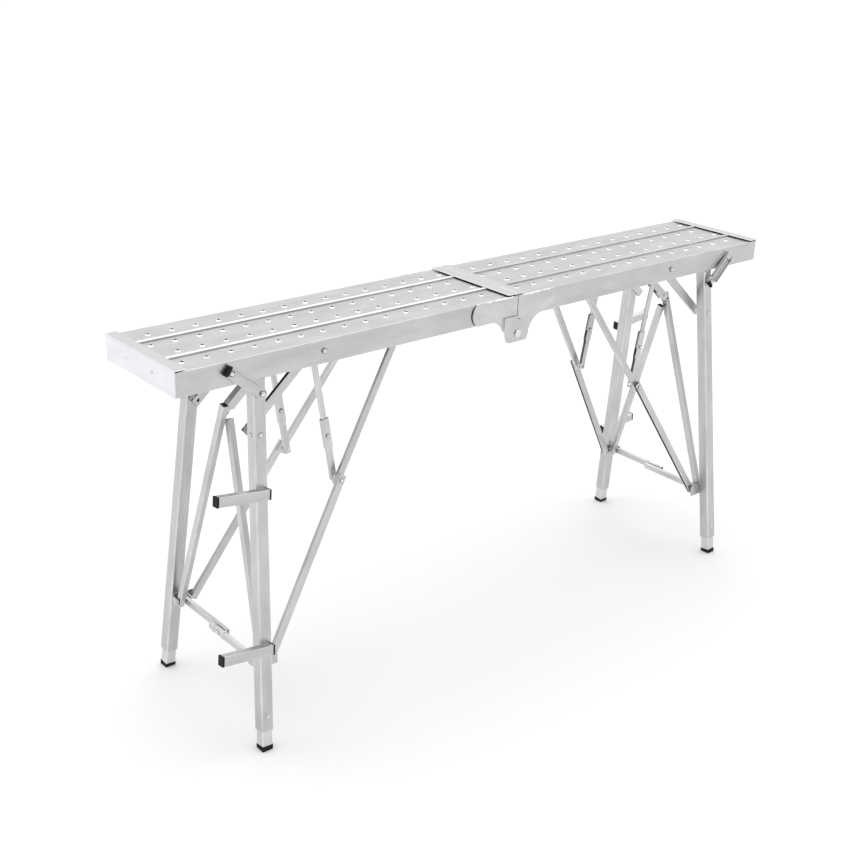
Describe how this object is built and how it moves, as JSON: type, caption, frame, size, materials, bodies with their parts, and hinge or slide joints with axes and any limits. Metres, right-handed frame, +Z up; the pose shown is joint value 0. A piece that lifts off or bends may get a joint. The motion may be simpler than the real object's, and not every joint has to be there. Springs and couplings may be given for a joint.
{
  "type": "folding work platform",
  "caption": "Low folding work platform: two-part hinged plank deck on splayed telescopic legs with bracing struts, rungs and rubber feet.",
  "frame": {"origin": "centre of the footprint on the floor, under the middle hinge of the deck", "axes": "+Z up, +X along the deck, +Y across the deck"},
  "size_m": [1.96, 0.4828, 0.96],
  "materials": {
    "deck_metal": "satin mill-finish sheet with fine lengthwise brushing",
    "end_metal": "bright satin folded sheet",
    "linkage_metal": "zinc-plated bar, satin",
    "pin_metal": "zinc-plated pins and rivets",
    "leg_metal": "satin drawn tube, brushed lengthwise",
    "black_plastic": "matt moulded plastic",
    "black_rubber": "matt moulded rubber"
  },
  "bodies": {
    "left_deck": {"left_deck_sheet": "deck_metal", "left_end_channels": "end_metal", "left_gussets": "linkage_metal", "left_pivot_shafts": "pin_metal", "left_brace_hanger": "linkage_metal", "hinge_pins": "pin_metal"},
    "right_deck": {"right_deck_sheet": "deck_metal", "right_end_channels": "end_metal", "right_gussets": "linkage_metal", "right_pivot_shafts": "pin_metal", "right_brace_hanger": "linkage_metal"},
    "left_front_link_arm": {"left_front_link": "linkage_metal"},
    "left_front_leg_tube": {"left_front_leg": "leg_metal", "left_rungs": "leg_metal", "left_rung_caps": "black_plastic"},
    "left_front_leg_extension": {"left_front_inner_leg": "leg_metal", "left_front_foot": "black_rubber"},
    "left_front_leg_button": {"left_front_button": "pin_metal"},
    "left_front_upper_link": {"left_front_upper_brace": "linkage_metal"},
    "left_front_lower_link": {"left_front_lower_brace": "linkage_metal"},
    "left_front_apex_strut": {"left_front_diagonal": "linkage_metal"},
    "left_front_spreader_link": {"left_front_spreader": "linkage_metal"},
    "left_rear_link_arm": {"left_rear_link": "linkage_metal"},
    "left_rear_leg_tube": {"left_rear_leg": "leg_metal"},
    "left_rear_leg_extension": {"left_rear_inner_leg": "leg_metal", "left_rear_foot": "black_rubber"},
    "left_rear_leg_button": {"left_rear_button": "pin_metal"},
    "left_rear_upper_link": {"left_rear_upper_brace": "linkage_metal"},
    "left_rear_lower_link": {"left_rear_lower_brace": "linkage_metal"},
    "left_rear_apex_strut": {"left_rear_diagonal": "linkage_metal"},
    "left_rear_spreader_link": {"left_rear_spreader": "linkage_metal"},
    "left_strut_pair": {"left_side_struts": "linkage_metal"},
    "left_centre_strut_arm": {"left_centre_strut": "linkage_metal"},
    "left_stay_uppers": {"left_upper_stays": "linkage_metal"},
    "left_stay_lowers": {"left_lower_stays": "linkage_metal"},
    "right_rear_link_arm": {"right_rear_link": "linkage_metal"},
    "right_rear_leg_tube": {"right_rear_leg": "leg_metal", "right_rungs": "leg_metal", "right_rung_caps": "black_plastic"},
    "right_rear_leg_extension": {"right_rear_inner_leg": "leg_metal", "right_rear_foot": "black_rubber"},
    "right_rear_leg_button": {"right_rear_button": "pin_metal"},
    "right_rear_upper_link": {"right_rear_upper_brace": "linkage_metal"},
    "right_rear_lower_link": {"right_rear_lower_brace": "linkage_metal"},
    "right_rear_apex_strut": {"right_rear_diagonal": "linkage_metal"},
    "right_rear_spreader_link": {"right_rear_spreader": "linkage_metal"},
    "right_front_link_arm": {"right_front_link": "linkage_metal"},
    "right_front_leg_tube": {"right_front_leg": "leg_metal"},
    "right_front_leg_extension": {"right_front_inner_leg": "leg_metal", "right_front_foot": "black_rubber"},
    "right_front_leg_button": {"right_front_button": "pin_metal"},
    "right_front_upper_link": {"right_front_upper_brace": "linkage_metal"},
    "right_front_lower_link": {"right_front_lower_brace": "linkage_metal"},
    "right_front_apex_strut": {"right_front_diagonal": "linkage_metal"},
    "right_front_spreader_link": {"right_front_spreader": "linkage_metal"},
    "right_strut_pair": {"right_side_struts": "linkage_metal"},
    "right_centre_strut_arm": {"right_centre_strut": "linkage_metal"},
    "right_stay_uppers": {"right_upper_stays": "linkage_metal"},
    "right_stay_lowers": {"right_lower_stays": "linkage_metal"}
  },
  "joints": [
    {"name": "deck_fold", "type": "hinge", "parent": "left_deck", "child": "right_deck", "pos_m": [0, 0, 0.857], "axis": [0, 1, 0], "range_deg": [0, 80]},
    {"name": "left_legs_fold", "type": "hinge", "parent": "left_deck", "child": "left_front_link_arm", "pos_m": [-0.845, -0.152, 0.927], "axis": [0, 0.9943, -0.107], "range_deg": [0, 105.94]},
    {"name": "left_front_leg_pivot", "type": "hinge", "parent": "left_front_link_arm", "child": "left_front_leg_tube", "pos_m": [-0.7715, -0.134, 0.864], "axis": [0, 0.9943, -0.107], "range_deg": [-199.58, 0]},
    {"name": "left_front_leg_slide", "type": "slide", "parent": "left_front_leg_tube", "child": "left_front_leg_extension", "axis": [0.0626, 0.1068, 0.9923], "range_m": [-0.2, 0]},
    {"name": "left_front_button_press", "type": "slide", "parent": "left_front_leg_tube", "child": "left_front_leg_button", "axis": [0, 0.9943, -0.107], "range_m": [0, 0.003], "stiffness_N_per_m": 800, "springref_m": -0.001},
    {"name": "left_front_brace_pivot", "type": "hinge", "parent": "left_deck", "child": "left_front_upper_link", "pos_m": [-0.308, -0.07188, 0.925], "axis": [0, 0.9915, -0.1299], "range_deg": [0, 54.06]},
    {"name": "left_front_brace_foot", "type": "hinge", "parent": "left_front_leg_tube", "child": "left_front_lower_link", "pos_m": [-0.77, -0.17667, 0.206], "axis": [-0.0141, -0.9902, 0.1386], "range_deg": [0, 32.77]},
    {"name": "left_front_apex_pivot", "type": "hinge", "parent": "left_front_leg_tube", "child": "left_front_apex_strut", "pos_m": [-0.81256, -0.16828, 0.20919], "axis": [-0.998, 0, 0.063], "range_deg": [-1.04, 0]},
    {"name": "left_front_spreader_pivot", "type": "hinge", "parent": "left_front_leg_tube", "child": "left_front_spreader_link", "pos_m": [-0.81256, -0.16828, 0.20919], "axis": [-0.998, 0, 0.063], "range_deg": [0, 60.78]},
    {"name": "left_rear_link_pivot", "type": "hinge", "parent": "left_deck", "child": "left_rear_link_arm", "pos_m": [-0.845, 0.152, 0.927], "axis": [0, 0.9943, 0.107], "range_deg": [0, 105.99]},
    {"name": "left_rear_leg_pivot", "type": "hinge", "parent": "left_rear_link_arm", "child": "left_rear_leg_tube", "pos_m": [-0.7715, 0.134, 0.864], "axis": [0, 0.9943, 0.107], "range_deg": [-199.58, 0]},
    {"name": "left_rear_leg_slide", "type": "slide", "parent": "left_rear_leg_tube", "child": "left_rear_leg_extension", "axis": [0.0626, -0.1068, 0.9923], "range_m": [-0.2, 0]},
    {"name": "left_rear_button_press", "type": "slide", "parent": "left_rear_leg_tube", "child": "left_rear_leg_button", "axis": [0, -0.9943, -0.107], "range_m": [0, 0.003], "stiffness_N_per_m": 800, "springref_m": -0.001},
    {"name": "left_rear_brace_pivot", "type": "hinge", "parent": "left_deck", "child": "left_rear_upper_link", "pos_m": [-0.308, 0.07188, 0.925], "axis": [0, 0.9915, 0.1299], "range_deg": [0, 54.06]},
    {"name": "left_rear_brace_foot", "type": "hinge", "parent": "left_rear_leg_tube", "child": "left_rear_lower_link", "pos_m": [-0.77, 0.17667, 0.206], "axis": [0.0141, -0.9902, -0.1386], "range_deg": [0, 32.77]},
    {"name": "left_rear_apex_pivot", "type": "hinge", "parent": "left_rear_leg_tube", "child": "left_rear_apex_strut", "pos_m": [-0.81256, 0.16828, 0.20919], "axis": [0.998, 0, -0.063], "range_deg": [-1.04, 0]},
    {"name": "left_rear_spreader_pivot", "type": "hinge", "parent": "left_rear_leg_tube", "child": "left_rear_spreader_link", "pos_m": [-0.81256, 0.16828, 0.20919], "axis": [0.998, 0, -0.063], "range_deg": [0, 60.78]},
    {"name": "left_struts_pivot", "type": "hinge", "parent": "left_deck", "child": "left_strut_pair", "pos_m": [-0.598, 0, 0.928], "axis": [0, 1, 0], "range_deg": [0, 29.93]},
    {"name": "left_centre_strut_pivot", "type": "hinge", "parent": "left_deck", "child": "left_centre_strut_arm", "pos_m": [-0.598, 0, 0.928], "axis": [0, 1, 0], "range_deg": [0, 37.23]},
    {"name": "left_stays_pivot", "type": "hinge", "parent": "left_deck", "child": "left_stay_uppers", "pos_m": [-0.598, 0, 0.928], "axis": [0, 1, 0], "range_deg": [0, 101.45]},
    {"name": "left_stay_joint", "type": "hinge", "parent": "left_stay_uppers", "child": "left_stay_lowers", "pos_m": [-0.553, 0, 0.693], "axis": [0, 1, 0], "range_deg": [-168.05, 0]},
    {"name": "right_legs_fold", "type": "hinge", "parent": "right_deck", "child": "right_rear_link_arm", "pos_m": [0.845, 0.152, 0.927], "axis": [0, -0.9943, -0.107], "range_deg": [0, 105.94]},
    {"name": "right_rear_leg_pivot", "type": "hinge", "parent": "right_rear_link_arm", "child": "right_rear_leg_tube", "pos_m": [0.7715, 0.134, 0.864], "axis": [0, -0.9943, -0.107], "range_deg": [-199.58, 0]},
    {"name": "right_rear_leg_slide", "type": "slide", "parent": "right_rear_leg_tube", "child": "right_rear_leg_extension", "axis": [-0.0626, -0.1068, 0.9923], "range_m": [-0.2, 0]},
    {"name": "right_rear_button_press", "type": "slide", "parent": "right_rear_leg_tube", "child": "right_rear_leg_button", "axis": [0, -0.9943, -0.107], "range_m": [0, 0.003], "stiffness_N_per_m": 800, "springref_m": -0.001},
    {"name": "right_rear_brace_pivot", "type": "hinge", "parent": "right_deck", "child": "right_rear_upper_link", "pos_m": [0.308, 0.07188, 0.925], "axis": [0, -0.9915, -0.1299], "range_deg": [0, 54.06]},
    {"name": "right_rear_brace_foot", "type": "hinge", "parent": "right_rear_leg_tube", "child": "right_rear_lower_link", "pos_m": [0.77, 0.17667, 0.206], "axis": [0.0141, 0.9902, 0.1386], "range_deg": [0, 32.77]},
    {"name": "right_rear_apex_pivot", "type": "hinge", "parent": "right_rear_leg_tube", "child": "right_rear_apex_strut", "pos_m": [0.81256, 0.16828, 0.20919], "axis": [0.998, 0, 0.063], "range_deg": [-1.04, 0]},
    {"name": "right_rear_spreader_pivot", "type": "hinge", "parent": "right_rear_leg_tube", "child": "right_rear_spreader_link", "pos_m": [0.81256, 0.16828, 0.20919], "axis": [0.998, 0, 0.063], "range_deg": [0, 60.78]},
    {"name": "right_front_link_pivot", "type": "hinge", "parent": "right_deck", "child": "right_front_link_arm", "pos_m": [0.845, -0.152, 0.927], "axis": [0, -0.9943, 0.107], "range_deg": [0, 105.99]},
    {"name": "right_front_leg_pivot", "type": "hinge", "parent": "right_front_link_arm", "child": "right_front_leg_tube", "pos_m": [0.7715, -0.134, 0.864], "axis": [0, -0.9943, 0.107], "range_deg": [-199.58, 0]},
    {"name": "right_front_leg_slide", "type": "slide", "parent": "right_front_leg_tube", "child": "right_front_leg_extension", "axis": [-0.0626, 0.1068, 0.9923], "range_m": [-0.2, 0]},
    {"name": "right_front_button_press", "type": "slide", "parent": "right_front_leg_tube", "child": "right_front_leg_button", "axis": [0, 0.9943, -0.107], "range_m": [0, 0.003], "stiffness_N_per_m": 800, "springref_m": -0.001},
    {"name": "right_front_brace_pivot", "type": "hinge", "parent": "right_deck", "child": "right_front_upper_link", "pos_m": [0.308, -0.07188, 0.925], "axis": [0, -0.9915, 0.1299], "range_deg": [0, 54.06]},
    {"name": "right_front_brace_foot", "type": "hinge", "parent": "right_front_leg_tube", "child": "right_front_lower_link", "pos_m": [0.77, -0.17667, 0.206], "axis": [-0.0141, 0.9902, -0.1386], "range_deg": [0, 32.77]},
    {"name": "right_front_apex_pivot", "type": "hinge", "parent": "right_front_leg_tube", "child": "right_front_apex_strut", "pos_m": [0.81256, -0.16828, 0.20919], "axis": [-0.998, 0, -0.063], "range_deg": [-1.04, 0]},
    {"name": "right_front_spreader_pivot", "type": "hinge", "parent": "right_front_leg_tube", "child": "right_front_spreader_link", "pos_m": [0.81256, -0.16828, 0.20919], "axis": [-0.998, 0, -0.063], "range_deg": [0, 60.78]},
    {"name": "right_struts_pivot", "type": "hinge", "parent": "right_deck", "child": "right_strut_pair", "pos_m": [0.598, 0, 0.928], "axis": [0, -1, 0], "range_deg": [0, 29.93]},
    {"name": "right_centre_strut_pivot", "type": "hinge", "parent": "right_deck", "child": "right_centre_strut_arm", "pos_m": [0.598, 0, 0.928], "axis": [0, -1, 0], "range_deg": [0, 37.23]},
    {"name": "right_stays_pivot", "type": "hinge", "parent": "right_deck", "child": "right_stay_uppers", "pos_m": [0.598, 0, 0.928], "axis": [0, -1, 0], "range_deg": [0, 101.45]},
    {"name": "right_stay_joint", "type": "hinge", "parent": "right_stay_uppers", "child": "right_stay_lowers", "pos_m": [0.553, 0, 0.693], "axis": [0, -1, 0], "range_deg": [-168.05, 0]}
  ],
  "couplings": [
    {"joint": "left_front_leg_pivot", "follows": "left_legs_fold", "ratio": -1.8834},
    {"joint": "left_front_brace_pivot", "follows": "left_legs_fold", "ratio": 0.50978},
    {"joint": "left_front_brace_foot", "follows": "left_legs_fold", "ratio": 0.30885},
    {"joint": "left_front_apex_pivot", "follows": "left_legs_fold", "ratio": -0.0093917},
    {"joint": "left_front_spreader_pivot", "follows": "left_legs_fold", "ratio": 0.57321},
    {"joint": "left_rear_link_pivot", "follows": "left_legs_fold", "ratio": 1},
    {"joint": "left_rear_leg_pivot", "follows": "left_legs_fold", "ratio": -1.8834},
    {"joint": "left_rear_brace_pivot", "follows": "left_legs_fold", "ratio": 0.50978},
    {"joint": "left_rear_brace_foot", "follows": "left_legs_fold", "ratio": 0.30885},
    {"joint": "left_rear_apex_pivot", "follows": "left_legs_fold", "ratio": -0.0093917},
    {"joint": "left_rear_spreader_pivot", "follows": "left_legs_fold", "ratio": 0.57321},
    {"joint": "left_struts_pivot", "follows": "left_legs_fold", "ratio": 0.28201},
    {"joint": "left_centre_strut_pivot", "follows": "left_legs_fold", "ratio": 0.35092},
    {"joint": "left_stays_pivot", "follows": "left_legs_fold", "ratio": 0.95712},
    {"joint": "left_stay_joint", "follows": "left_legs_fold", "ratio": -1.5858},
    {"joint": "right_rear_leg_pivot", "follows": "right_legs_fold", "ratio": -1.8834},
    {"joint": "right_rear_brace_pivot", "follows": "right_legs_fold", "ratio": 0.50978},
    {"joint": "right_rear_brace_foot", "follows": "right_legs_fold", "ratio": 0.30885},
    {"joint": "right_rear_apex_pivot", "follows": "right_legs_fold", "ratio": -0.0093917},
    {"joint": "right_rear_spreader_pivot", "follows": "right_legs_fold", "ratio": 0.57321},
    {"joint": "right_front_link_pivot", "follows": "right_legs_fold", "ratio": 1},
    {"joint": "right_front_leg_pivot", "follows": "right_legs_fold", "ratio": -1.8834},
    {"joint": "right_front_brace_pivot", "follows": "right_legs_fold", "ratio": 0.50978},
    {"joint": "right_front_brace_foot", "follows": "right_legs_fold", "ratio": 0.30885},
    {"joint": "right_front_apex_pivot", "follows": "right_legs_fold", "ratio": -0.0093917},
    {"joint": "right_front_spreader_pivot", "follows": "right_legs_fold", "ratio": 0.57321},
    {"joint": "right_struts_pivot", "follows": "right_legs_fold", "ratio": 0.28201},
    {"joint": "right_centre_strut_pivot", "follows": "right_legs_fold", "ratio": 0.35092},
    {"joint": "right_stays_pivot", "follows": "right_legs_fold", "ratio": 0.95712},
    {"joint": "right_stay_joint", "follows": "right_legs_fold", "ratio": -1.5858}
  ]
}
